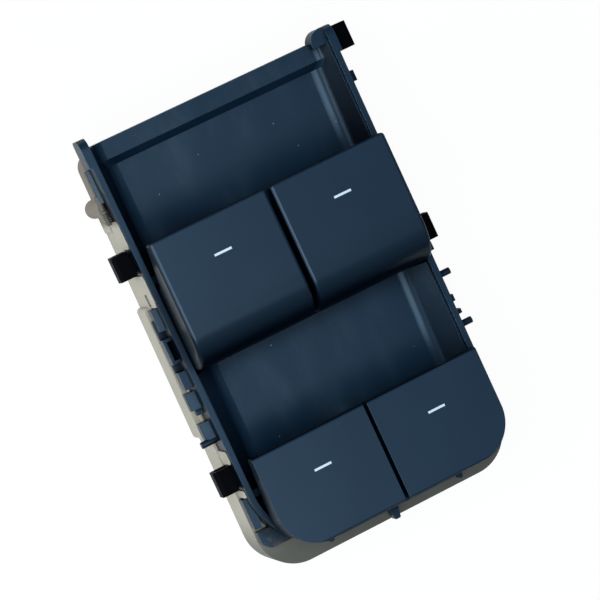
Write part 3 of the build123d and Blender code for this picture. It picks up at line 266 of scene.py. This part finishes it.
class Shader:
    """The node tree of one finish, or of the surround."""

    def __init__(self, name, world=None):
        self.material = bpy.data.materials.new(f"{name}_finish") if world is None else world
        self.material.use_nodes = True
        self.tree = self.material.node_tree
        self.tree.nodes.clear()
        kind = "ShaderNodeOutputMaterial" if world is None else "ShaderNodeOutputWorld"
        self.output = self.tree.nodes.new(kind)

    def node(self, kind, settings=None, inputs=None, output=0):
        """A node of any kind: its settings first, then the values or links of its sockets."""
        made = self.tree.nodes.new(kind)
        for key, value in (settings or {}).items():
            setattr(made, key, value)
        for key, value in (inputs or {}).items():
            if isinstance(value, Term):
                self.tree.links.new(value.socket, made.inputs[key])
            else:
                made.inputs[key].default_value = value
        return Term(self, made.outputs[output])

    def place(self):
        """The point of the piece, in metres in the row's frame."""
        return self.node("ShaderNodeTexCoord", output="Object")

    def parts(self, vector):
        """The three numbers of a vector."""
        split = self.node("ShaderNodeSeparateXYZ", inputs={0: vector})
        sockets = split.socket.node.outputs
        return [Term(self, sockets[index]) for index in range(3)]

    def stretched(self, vector, scales):
        """A vector with each part multiplied."""
        return self.node("ShaderNodeVectorMath", {"operation": "MULTIPLY"}, {0: vector, 1: scales})

    def noise(self, vector, scale, detail=2.0, roughness=0.5):
        """Smooth noise from 0 to 1."""
        inputs = {"Vector": vector, "Scale": scale, "Detail": detail, "Roughness": roughness}
        return self.node("ShaderNodeTexNoise", None, inputs)

    def cells(self, vector, scale, output="Distance"):
        """Scattered points: the distance to the nearest, or a value of its own for each."""
        return self.node("ShaderNodeTexVoronoi", None, {"Vector": vector, "Scale": scale}, output)

    def mix(self, share, first, second):
        """One colour turning into another."""
        ends = [end if isinstance(end, Term) else (*end, 1.0) for end in (first, second)]
        inputs = {0: share, 6: ends[0], 7: ends[1]}
        return self.node("ShaderNodeMix", {"data_type": "RGBA"}, inputs, 2)

    def bump(self, height, distance, normal=None, strength=1.0):
        """A normal that carries a height in metres."""
        inputs = {"Height": height, "Distance": distance, "Strength": strength}
        if normal is not None:
            inputs["Normal"] = normal
        return self.node("ShaderNodeBump", None, inputs)

    def soft_edge(self, radius):
        """A normal that rounds sharp edges."""
        return self.node("ShaderNodeBevel", {"samples": EDGE_SAMPLES}, {"Radius": radius})

    def up(self):
        """How far a face looks upwards, from -1 to 1."""
        return self.parts(self.node("ShaderNodeNewGeometry", output="Normal"))[2]

    def open_air(self, reach):
        """1 on the open faces, less in the corners and gaps."""
        share = self.node("ShaderNodeAmbientOcclusion", {"samples": AIR_SAMPLES},
                          {"Distance": reach}, "AO")
        return share.ramp(*AIR_RANGE)

    def edge_line(self, radius):
        """1 along the sharp edges and 0 on the open faces."""
        flat = self.node("ShaderNodeNewGeometry", output="True Normal")
        along = self.node("ShaderNodeVectorMath", {"operation": "DOT_PRODUCT"},
                          {0: self.soft_edge(radius), 1: flat}, 1)
        return (1.0 - along).ramp(*EDGE_RANGE)

    def surface(self, **sockets):
        """The principled surface, linked to the output."""
        named = {key.replace("_", " "): value for key, value in sockets.items()}
        for key in ("Base Color", "Emission Color", "Specular Tint"):
            if key in named and not isinstance(named[key], Term):
                named[key] = (*named[key], 1.0)
        return self.send(self.node("ShaderNodeBsdfPrincipled", None, named))

    def join(self, share, first, second):
        """One surface turning into another, linked to the output."""
        return self.send(self.node("ShaderNodeMixShader", None, {0: share, 1: first, 2: second}))

    def send(self, surface):
        """Links a surface to the output."""
        self.tree.links.new(surface.socket, self.output.inputs["Surface"])
        return surface


def lighter(colour, factor):
    """A colour multiplied and kept within range."""
    return tuple(min(1.0, part * factor) for part in colour)


def dust_mask(shader, place, scale, share, radius):
    """Sparse round specks on faces that look upwards."""
    near = shader.cells(place, scale) < radius
    chosen = shader.parts(shader.cells(place, scale, "Color"))[0] < share
    return near * chosen * (shader.up() > DUST_LEVEL)


def bezel_finish(colours, detail):
    """Spark-eroded charcoal, with a painted sheen on the faces that look up and painted shade on
    the near-black walls and in corners and gaps; dust in the wells, a smear, and painted
    highlights along the upward edges.
    """
    shader = Shader("charcoal_plastic")
    place = shader.place()
    x, y, z = shader.parts(place)
    up = shader.up()
    cloud = shader.noise(place, scale=55.0, detail=3.0)
    grain = shader.noise(place, scale=1.0 / detail.grain, detail=1.0)
    film = shader.noise(shader.stretched(place, (1.0, 0.35, 1.0)), scale=140.0, detail=4.0,
                        roughness=0.6)
    # Painted sheen on the faces that look up, fading to the painted shade of steep walls
    sheen_lit = shader.mix(cloud, lighter(colours.bezel, 0.82), lighter(colours.bezel, 1.2))
    base = shader.mix(up.ramp(0.25, 0.75), colours.bezel_shaded_wall, sheen_lit)
    # Painted shade of the steep walls and of corners and gaps
    shaded = shader.mix(cloud, lighter(colours.bezel_shaded_wall, 0.8), lighter(colours.bezel_shaded_wall, 1.25))
    floor = (z < WELL_TOP) * (up > LEVEL)
    base = shader.mix(film.ramp(0.45, 0.95) * floor * 0.05, base, colours.dust)
    large = dust_mask(shader, place, scale=260.0, share=0.06, radius=0.050)
    small = dust_mask(shader, place, scale=620.0, share=0.05, radius=0.08)
    base = shader.mix((large + small) * (z < WELL_TOP) * 0.6, base, colours.dust)
    corner = (0.0 - x).ramp(*SMEAR_FROM_MIDDLE) * (0.0 - y).ramp(*SMEAR_TO_REAR)
    smear = shader.noise(place, scale=330.0, detail=4.0, roughness=0.7).ramp(0.5, 0.62) * corner
    base = shader.mix(smear * 0.7, base, colours.smear)
    # Painted highlight along the edges that look up
    edge_highlight = shader.edge_line(detail.edge_round) * (up > HIGHLIGHT_LEVEL)
    base = shader.mix(edge_highlight * 0.7, base, lighter(colours.bezel, 8.0))
    rough = 0.23 + 0.10 * film + 0.06 * cloud
    normal = shader.bump(grain, detail.grain_depth, shader.soft_edge(detail.edge_round), 0.6)
    wall = shader.surface(Base_Color=shaded, Roughness=rough, Normal=normal,
                          Specular_IOR_Level=SHADED_WALL_GLOSS, Specular_Tint=COOL_TINT)
    face = shader.surface(Base_Color=base, Roughness=rough, Normal=normal,
                          Specular_IOR_Level=BEZEL_GLOSS, Specular_Tint=COOL_TINT)
    # Open faces that look up take the painted sheen; steep walls, corners and gaps take the
    # painted shade
    shader.join(up.ramp(*BEZEL_TURN) * shader.open_air(detail.corner_reach), wall, face)
    return shader.material


def key_finish(colours, detail):
    """Soft satin charcoal with faint touch marks and a painted sheen on top, painted shade on the
    near-black sides, in corners and gaps and towards the rear roll of the front keys, and painted
    highlights along the upward edges.
    """
    shader = Shader("key_plastic")
    place = shader.place()
    y = shader.parts(place)[1]
    up = shader.up()
    cloud = shader.noise(place, scale=38.0, detail=3.0)
    grain = shader.noise(place, scale=0.8 / detail.grain, detail=1.0)
    touch = shader.noise(shader.stretched(place, (1.0, 0.6, 1.0)), scale=95.0, detail=5.0,
                         roughness=0.65)
    top = shader.mix(cloud, lighter(colours.key, 0.88), lighter(colours.key, 1.14))
    # Painted shade towards the rear roll of the front keys; the rear keys stay clear of it
    clear_of_roll_shade = y.ramp(*KEY_ROLL_SHADE) + (y < REAR_KEYS_START)
    top = shader.mix(clear_of_roll_shade, lighter(colours.key, 0.45), top)
    # Painted sheen on the top, fading to painted shade on steep sides
    base = shader.mix(up.ramp(0.35, 0.85), colours.key_shaded_wall, top)
    # Painted shade of the steep sides and of corners and gaps
    shaded = shader.mix(cloud, lighter(colours.key_shaded_wall, 0.8), lighter(colours.key_shaded_wall, 1.25))
    specks = dust_mask(shader, place, scale=420.0, share=0.04, radius=0.05)
    base = shader.mix(specks * 0.4, base, colours.dust)
    # Painted highlight along the edges that look up
    edge_highlight = shader.edge_line(detail.edge_round) * (up > HIGHLIGHT_LEVEL)
    base = shader.mix(edge_highlight * 0.5, base, lighter(colours.key, 5.0))
    rough = 0.24 + 0.05 * touch + 0.05 * cloud
    normal = shader.bump(grain, detail.grain_depth, shader.soft_edge(detail.edge_round), 0.2)
    side = shader.surface(Base_Color=shaded, Roughness=rough, Normal=normal,
                          Specular_IOR_Level=SHADED_WALL_GLOSS, Specular_Tint=COOL_TINT)
    face = shader.surface(Base_Color=base, Roughness=rough, Normal=normal,
                          Specular_IOR_Level=KEY_GLOSS, Specular_Tint=KEY_TINT)
    # Open tops take the painted sheen; steep sides, corners and gaps take the painted shade
    shader.join(up.ramp(*KEY_TURN) * shader.open_air(detail.corner_reach), side, face)
    return shader.material


def housing_finish(colours, detail):
    """Plain moulded greige, cream on the walls, with painted shade in taupe on the rear shelf and
    in brown around the left boss.
    """
    shader = Shader("greige_plastic")
    place = shader.place()
    x, y, z = shader.parts(place)
    cloud = shader.noise(place, scale=45.0, detail=4.0)
    flow = shader.noise(shader.stretched(place, (1.0, 0.25, 1.0)), scale=160.0, detail=3.0,
                        roughness=0.6)
    grain = shader.noise(place, scale=0.7 / detail.grain, detail=1.0)
    walls = shader.mix(cloud, lighter(colours.cream, 0.90), lighter(colours.cream, 1.08))
    # Painted shade on the rear shelf behind the keys
    shelf_shade = shader.mix(flow, lighter(colours.taupe, 0.8), lighter(colours.taupe, 1.25))
    base = shader.mix((0.0 - y).ramp(*SHELF_SHADE_TO_REAR), walls, shelf_shade)
    stain = shader.noise(place, scale=210.0, detail=4.0, roughness=0.7).ramp(0.62, 0.8)
    base = shader.mix(stain * 0.35, base, lighter(colours.taupe, 1.6))
    # Painted shade, in brown, around the left boss
    boss = (0.0 - x).ramp(*BOSS_SHADE_TO_LEFT) * y.ramp(*BOSS_SHADE_TO_FRONT)
    base = shader.mix(boss * 0.85, base, colours.smear)
    foot = (0.0 - z).ramp(*FOOT_SHADE)
    base = shader.mix(foot * 0.4, base, lighter(colours.cream, 0.45))
    rough = 0.48 + 0.14 * flow
    normal = shader.bump(grain, detail.grain_depth, shader.soft_edge(detail.edge_round), 0.5)
    shader.surface(Base_Color=base, Roughness=rough, Normal=normal,
                   Specular_IOR_Level=HOUSING_GLOSS)
    return shader.material


def clip_finish(colours, detail):
    """Deep black with drawn lines across the folds."""
    shader = Shader("black_clip")
    place = shader.place()
    drawn = shader.noise(shader.stretched(place, (6.0, 1.0, 6.0)), scale=420.0, detail=3.0,
                         roughness=0.6)
    cloud = shader.noise(place, scale=300.0, detail=2.0)
    base = shader.mix(cloud, lighter(colours.clip, 0.7), lighter(colours.clip, 2.2))
    rough = 0.36 + 0.20 * drawn
    normal = shader.bump(drawn, detail.grain_depth, shader.soft_edge(detail.edge_round), 0.4)
    shader.surface(Base_Color=base, Roughness=rough, Normal=normal, Specular_IOR_Level=CLIP_GLOSS)
    return shader.material


def dash_finish(colours, detail):
    """Cloudy diffusing white with a very faint glow."""
    shader = Shader("dash_white")
    place = shader.place()
    cloud = shader.noise(place, scale=900.0, detail=2.0)
    base = shader.mix(cloud, lighter(colours.dash, 0.92), lighter(colours.dash, 1.08))
    normal = shader.bump(cloud, detail.grain_depth, strength=0.2)
    shader.surface(Base_Color=base, Roughness=0.30 + 0.10 * cloud, Normal=normal,
                   Emission_Color=base, Emission_Strength=0.03)
    return shader.material


def metal_finish(name, colour, rough_low, rough_high, scales):
    """Rolled or plated metal with fine lines along one way."""
    shader = Shader(name)
    place = shader.place()
    lines = shader.noise(shader.stretched(place, scales), scale=900.0, detail=3.0, roughness=0.6)
    cloud = shader.noise(place, scale=260.0, detail=2.0)
    base = shader.mix(cloud, lighter(colour, 0.8), lighter(colour, 1.1))
    rough = rough_low + (rough_high - rough_low) * lines
    normal = shader.bump(lines, 0.000006, strength=0.4)
    shader.surface(Base_Color=base, Metallic=1.0, Roughness=rough, Normal=normal)
    return shader.material


def plain_finish(name, colour, rough, grain_width, spread=0.15):
    """Moulded plastic of the inner pieces, with its own grain and cloudiness."""
    shader = Shader(name)
    place = shader.place()
    cloud = shader.noise(place, scale=120.0, detail=3.0)
    grain = shader.noise(place, scale=1.0 / grain_width, detail=2.0)
    base = shader.mix(cloud, lighter(colour, 1.0 - spread), lighter(colour, 1.0 + spread))
    normal = shader.bump(grain, grain_width * 0.06, strength=0.5)
    shader.surface(Base_Color=base, Roughness=rough + 0.12 * cloud, Normal=normal)
    return shader.material


def board_finish():
    """Green solder mask over copper lines, with small plated holes."""
    shader = Shader("board_green")
    place = shader.place()
    x = shader.parts(place)[0]
    bend = shader.noise(place, scale=70.0, detail=1.0)
    across = x * 900.0 + bend * 3.0
    lines = across.maths("PINGPONG", across, 1.0)
    copper = (lines < 0.22) * (shader.noise(place, scale=60.0, detail=0.0) > 0.47)
    holes = shader.cells(place, scale=330.0) < 0.12
    base = shader.mix(copper, (0.010, 0.085, 0.035), (0.020, 0.150, 0.060))
    base = shader.mix(holes, base, (0.45, 0.33, 0.12))
    rough = 0.30 + 0.15 * shader.noise(place, scale=400.0, detail=2.0)
    normal = shader.bump(copper, 0.00003, strength=0.6)
    shader.surface(Base_Color=base, Roughness=rough, Normal=normal)
    return shader.material


def paint(node, material):
    """Gives one material to a carried-over CAD piece."""
    mesh = frame["nodes"][node].data
    mesh.materials.clear()
    mesh.materials.append(material)


def link_piece(name, form, body, material):
    """Turns a finished form into a piece that rides a body."""
    mesh = bpy.data.meshes.new(name)
    bmesh.ops.recalc_face_normals(form, faces=form.faces)
    form.to_mesh(mesh)
    form.free()
    mesh.materials.append(material)
    piece = bpy.data.objects.new(name, mesh)
    bpy.context.scene.collection.objects.link(piece)
    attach(piece, body)


def rings(form, rows):
    """Walls between closed rows of points that have the same count."""
    made = [[form.verts.new(point) for point in row] for row in rows]
    for outer, inner in zip(made, made[1:]):
        count = len(outer)
        for index in range(count):
            following = (index + 1) % count
            form.faces.new((outer[index], outer[following], inner[following], inner[index]))
    return made


def closed_form(rows):
    """A closed form through rows of points, with a face at each end."""
    form = bmesh.new()
    ends = rings(form, rows)
    form.faces.new(ends[0])
    form.faces.new(ends[-1])
    return form


def finish_named(name):
    """A finish that the finishes operator has made."""
    material = bpy.data.materials.get(f"{name}_finish")
    if material is None:
        raise RuntimeError(f"the finish {name} isn't there: run the finishes operator first")
    return material


class WINDOWSWITCH_OT_finishes(bpy.types.Operator):
    """Make every finish and give it to the carried-over pieces."""

    bl_idname = "window_switch.finishes"
    bl_label = "Finishes"

    def execute(self, context):
        colours = context.scene.switch_colours
        detail = context.scene.switch_detail
        finishes = {
            "charcoal_plastic": bezel_finish(colours, detail),
            "key_plastic": key_finish(colours, detail),
            "greige_plastic": housing_finish(colours, detail),
            "black_clip": clip_finish(colours, detail),
            "dash_white": dash_finish(colours, detail),
            "zinc_steel": metal_finish("zinc_steel", (0.55, 0.56, 0.58), 0.25, 0.5, (1, 1, 8)),
            "spring_steel": metal_finish("spring_steel", (0.5, 0.5, 0.51), 0.2, 0.4, (8, 1, 1)),
            "spring_bronze": metal_finish(
                "spring_bronze", (0.62, 0.38, 0.2), 0.22, 0.42, (1, 8, 1)),
            "gold_track": metal_finish("gold_track", (0.75, 0.52, 0.2), 0.18, 0.35, (1, 6, 1)),
            "tin_pin": metal_finish("tin_pin", (0.7, 0.7, 0.68), 0.2, 0.4, (1, 8, 1)),
            "black_inner_plastic": plain_finish(
                "black_inner_plastic", (0.012, 0.013, 0.015), 0.42, 0.0003),
            "lamp_white": plain_finish("lamp_white", (0.75, 0.74, 0.6), 0.25, 0.0002),
            "chip_black": plain_finish("chip_black", (0.015, 0.015, 0.016), 0.5, 0.0001),
            "natural_slider": plain_finish("natural_slider", (0.68, 0.65, 0.56), 0.35, 0.0004),
            "board_green": board_finish(),
        }
        plain_finish("pin_brown", (0.055, 0.048, 0.038), 0.4, 0.0002, 0.3)
        for entry in frame["record"]["subparts"]:
            paint(entry["node"], finishes[entry["material_slot"]])
        return {"FINISHED"}


class WINDOWSWITCH_OT_socket_ribs(bpy.types.Operator):
    """Polarising ribs on the floor of the plug-in socket."""

    bl_idname = "window_switch.socket_ribs"
    bl_label = "Socket Ribs"

    def execute(self, context):
        detail = context.scene.switch_detail
        low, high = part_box("connector_socket")
        floor = low[2] + RIB_FLOOR * MM
        span = (high[0] - low[0]) * RIB_SPAN_SHARE
        half = detail.rib_width / 2
        step = span / max(1, detail.rib_count - 1)
        for index in range(detail.rib_count):
            x = -span / 2 + index * step + (RIB_KEYING * MM if index == 1 else 0.0)
            outline = ((x - half, floor - RIB_ROOT * MM), (x + half, floor - RIB_ROOT * MM),
                       (x + half * RIB_TOP_SHARE, floor + RIB_HEIGHT * MM),
                       (x - half * RIB_TOP_SHARE, floor + RIB_HEIGHT * MM))
            ends = (high[1] - RIB_LENGTH * MM, high[1] - RIB_SET_IN * MM)
            form = closed_form([[(across, y, height) for across, height in outline] for y in ends])
            link_piece(f"socket_rib_{index + 1}", form, "housing",
                       finish_named("black_inner_plastic"))
        return {"FINISHED"}


def left_wall_of(node):
    """Gives a function that finds the place of a node's left wall at any length and height."""
    form = bmesh.new()
    form.from_mesh(frame["nodes"][node].data)
    tree = BVHTree.FromBMesh(form)
    form.free()

    def find(y, z):
        hit = tree.ray_cast(Vector((PROBE_START * MM, y, z)), Vector((1.0, 0.0, 0.0)))[0]
        if hit is None:
            raise RuntimeError(f"{node} has no left wall at {y:.4f}, {z:.4f}")
        return hit[0]
    return find


class WINDOWSWITCH_OT_side_upstands(bpy.types.Operator):
    """The housing's thin upstands, which cover the bezel's left wall between the clips."""

    bl_idname = "window_switch.side_upstands"
    bl_label = "Side Upstands"

    def execute(self, context):
        thickness = context.scene.switch_detail.upstand
        wall = left_wall_of("bezel")
        for number, (start, end, top) in enumerate(UPSTAND_RUNS, 1):
            rows = []
            for index in range(UPSTAND_STEPS + 1):
                y = (start + (end - start) * index / UPSTAND_STEPS) * MM
                near_end = min(index, UPSTAND_STEPS - index) / 2
                ease = (1 - min(1.0, near_end)) * UPSTAND_END_EASE * MM
                inner = wall(y, PROBE_HEIGHT * MM) - WALL_GAP * MM
                outer = inner - thickness
                high = top * MM - ease
                lip = [(outer + back * MM, y, high - down * MM) for back, down in UPSTAND_LIP]
                rows.append([(inner, y, UPSTAND_FOOT * MM), (outer, y, UPSTAND_FOOT * MM), *lip,
                             (inner, y, high)])
            link_piece(f"side_upstand_{number}", closed_form(rows), "housing",
                       finish_named("greige_plastic"))
        return {"FINISHED"}


class WINDOWSWITCH_OT_side_pin(bpy.types.Operator):
    """The ridged pin that lies along the left boss."""

    bl_idname = "window_switch.side_pin"
    bl_label = "Side Pin"

    def execute(self, context):
        radius = context.scene.switch_detail.pin_radius
        profile = list(PIN_HEAD)
        for ridge in range(PIN_RIDGES):
            start = PIN_RIDGE_START - PIN_RIDGE_PITCH * ridge
            profile += [(start - back, share) for back, share in PIN_RIDGE]
        profile += PIN_TIP
        angles = [2 * math.pi * index / PIN_TURNS for index in range(PIN_TURNS)]
        rows = []
        for y, share in profile:
            rows.append([(PIN_X * MM + radius * share * math.cos(angle), y * MM,
                          PIN_Z * MM + radius * share * math.sin(angle)) for angle in angles])
        link_piece("side_pin", closed_form(rows), "housing", finish_named("pin_brown"))
        return {"FINISHED"}


class WINDOWSWITCH_OT_side_mark(bpy.types.Operator):
    """The oblong moulded ring on the left side, ahead of the ladder."""

    bl_idname = "window_switch.side_mark"
    bl_label = "Side Mark"

    def execute(self, context):
        detail = context.scene.switch_detail
        bezel_side = left_wall_of("bezel")(MARK_Y * MM, PROBE_HEIGHT * MM)
        wall = bezel_side - MARK_SINK * MM - detail.upstand
        angles = [2 * math.pi * index / MARK_TURNS for index in range(MARK_TURNS)]
        rows = []
        for share, proud in MARK_RINGS:
            radius = detail.mark_radius * share
            row = []
            for angle in angles:
                straight = math.copysign(MARK_HALF_STRAIGHT * MM, math.cos(angle))
                along = math.cos(angle) * radius + straight
                row.append((wall - proud * MM, MARK_Y * MM + along,
                            MARK_Z * MM + math.sin(angle) * radius))
            rows.append(row)
        form = bmesh.new()
        rings(form, rows)
        link_piece("side_mark", form, "housing", finish_named("pin_brown"))
        return {"FINISHED"}


class WINDOWSWITCH_OT_stage(bpy.types.Operator):
    """Pale floor, soft boxes, surround and the camera."""

    bl_idname = "window_switch.stage"
    bl_label = "Stage"

    def execute(self, context):
        stage = context.scene.switch_stage
        self.floor(context, stage)
        self.surround(context, stage)
        self.soft_box(context, "overhead_box", TOP_BOX, stage.top_power)
        self.soft_box(context, "side_box", SIDE_BOX, stage.side_power)
        self.camera(context, stage)
        context.scene.view_settings.view_transform = "Standard"
        return {"FINISHED"}

    def floor(self, context, stage):
        """The pale floor, which stays matte for the part and nearly white for the camera."""
        half = stage.floor_size / 2
        mesh = bpy.data.meshes.new("floor")
        form = bmesh.new()
        corners = ((-1, -1), (1, -1), (1, 1), (-1, 1))
        form.faces.new([form.verts.new((x * half, y * half, 0.0)) for x, y in corners])
        form.to_mesh(mesh)
        form.free()
        floor = bpy.data.objects.new("floor", mesh)
        context.scene.collection.objects.link(floor)
        shader = Shader("studio_floor")
        cloud = shader.noise(shader.place(), scale=6.0, detail=2.0)
        tone = shader.mix(cloud, (0.86, 0.86, 0.86), (0.9, 0.9, 0.9))
        matte = shader.node("ShaderNodeBsdfDiffuse", None, {"Color": tone})
        glow = shader.node("ShaderNodeEmission", None, {"Color": (*WHITE, 1.0), "Strength": 1.0})
        seen = shader.node("ShaderNodeLightPath", output="Is Camera Ray")
        shader.join(seen * FLOOR_WHITE, matte, glow)
        mesh.materials.append(shader.material)

    def surround(self, context, stage):
        """The surround: white for the camera, and dim near the horizon for the part."""
        world = bpy.data.worlds.new("studio")
        context.scene.world = world
        shader = Shader("surround", world)
        height = shader.parts(shader.node("ShaderNodeTexCoord", output="Generated"))[2]
        strength = shader.node("ShaderNodeMapRange", {"interpolation_type": "SMOOTHSTEP"}, {
            "Value": height, "From Min": SURROUND_LOW, "From Max": SURROUND_HIGH,
            "To Min": stage.world_strength * HORIZON_SHARE, "To Max": stage.world_strength})
        light = shader.node("ShaderNodeBackground", None,
                            {"Color": (*SURROUND_COLOUR, 1.0), "Strength": strength})
        white = shader.node("ShaderNodeBackground", None,
                            {"Color": (*WHITE, 1.0), "Strength": 1.0})
        shader.join(shader.node("ShaderNodeLightPath", output="Is Camera Ray"), light, white)

    def soft_box(self, context, name, box, power):
        """A soft box that faces the part."""
        place, size, colour = box
        data = bpy.data.lights.new(name, "AREA")
        data.shape = "RECTANGLE"
        data.size, data.size_y = size
        data.energy = power
        data.color = colour
        lamp = bpy.data.objects.new(name, data)
        context.scene.collection.objects.link(lamp)
        lamp.location = place
        way = Vector(LAMP_TARGET) - Vector(place)
        lamp.rotation_euler = way.to_track_quat("-Z", "Y").to_euler()

    def camera(self, context, stage):
        """The camera at the photograph's place."""
        data = bpy.data.cameras.new("camera")
        data.lens = stage.lens
        data.sensor_width = SENSOR_MM
        data.clip_end = CAMERA_REACH
        camera = bpy.data.objects.new("camera", data)
        context.scene.collection.objects.link(camera)
        back = -Vector(CAMERA_VIEW).normalized()
        up = back.cross(Vector(CAMERA_RIGHT)).normalized()
        right = up.cross(back).normalized()
        turn = Matrix((right, up, back)).transposed().to_4x4()
        camera.matrix_world = Matrix.Translation(CAMERA_PLACE) @ turn
        context.scene.camera = camera


class WINDOWSWITCH_PT_panel(bpy.types.Panel):
    """Lists what builds the looks of the window switch."""

    bl_idname = "WINDOWSWITCH_PT_panel"
    bl_label = "Window Switch"
    bl_space_type = "VIEW_3D"
    bl_region_type = "UI"
    bl_category = "Window Switch"

    def draw(self, context):
        for attribute, group in GROUPS.items():
            box = self.layout.box()
            for name in group.__annotations__:
                box.prop(getattr(context.scene, attribute), name)
        for operator in OPERATORS:
            self.layout.operator(operator.bl_idname)


GROUPS = {
    "switch_colours": SwitchColours,
    "switch_detail": SwitchDetail,
    "switch_stage": SwitchStage,
}
OPERATORS = (
    WINDOWSWITCH_OT_finishes,
    WINDOWSWITCH_OT_socket_ribs,
    WINDOWSWITCH_OT_side_upstands,
    WINDOWSWITCH_OT_side_pin,
    WINDOWSWITCH_OT_side_mark,
    WINDOWSWITCH_OT_stage,
)


def register():
    """Registers the property groups, operators and panel."""
    for name, group in GROUPS.items():
        bpy.utils.register_class(group)
        setattr(bpy.types.Scene, name, PointerProperty(type=group))
    for operator in OPERATORS:
        bpy.utils.register_class(operator)
    bpy.utils.register_class(WINDOWSWITCH_PT_panel)


def unregister():
    """Takes them out again."""
    bpy.utils.unregister_class(WINDOWSWITCH_PT_panel)
    for operator in reversed(OPERATORS):
        bpy.utils.unregister_class(operator)
    for name, group in GROUPS.items():
        delattr(bpy.types.Scene, name)
        bpy.utils.unregister_class(group)


def main():
    """Builds the looks in order."""
    register()
    bpy.ops.window_switch.finishes()
    bpy.ops.window_switch.socket_ribs()
    bpy.ops.window_switch.side_upstands()
    bpy.ops.window_switch.side_pin()
    bpy.ops.window_switch.side_mark()
    bpy.ops.window_switch.stage()


if __name__ == "__main__":
    main()
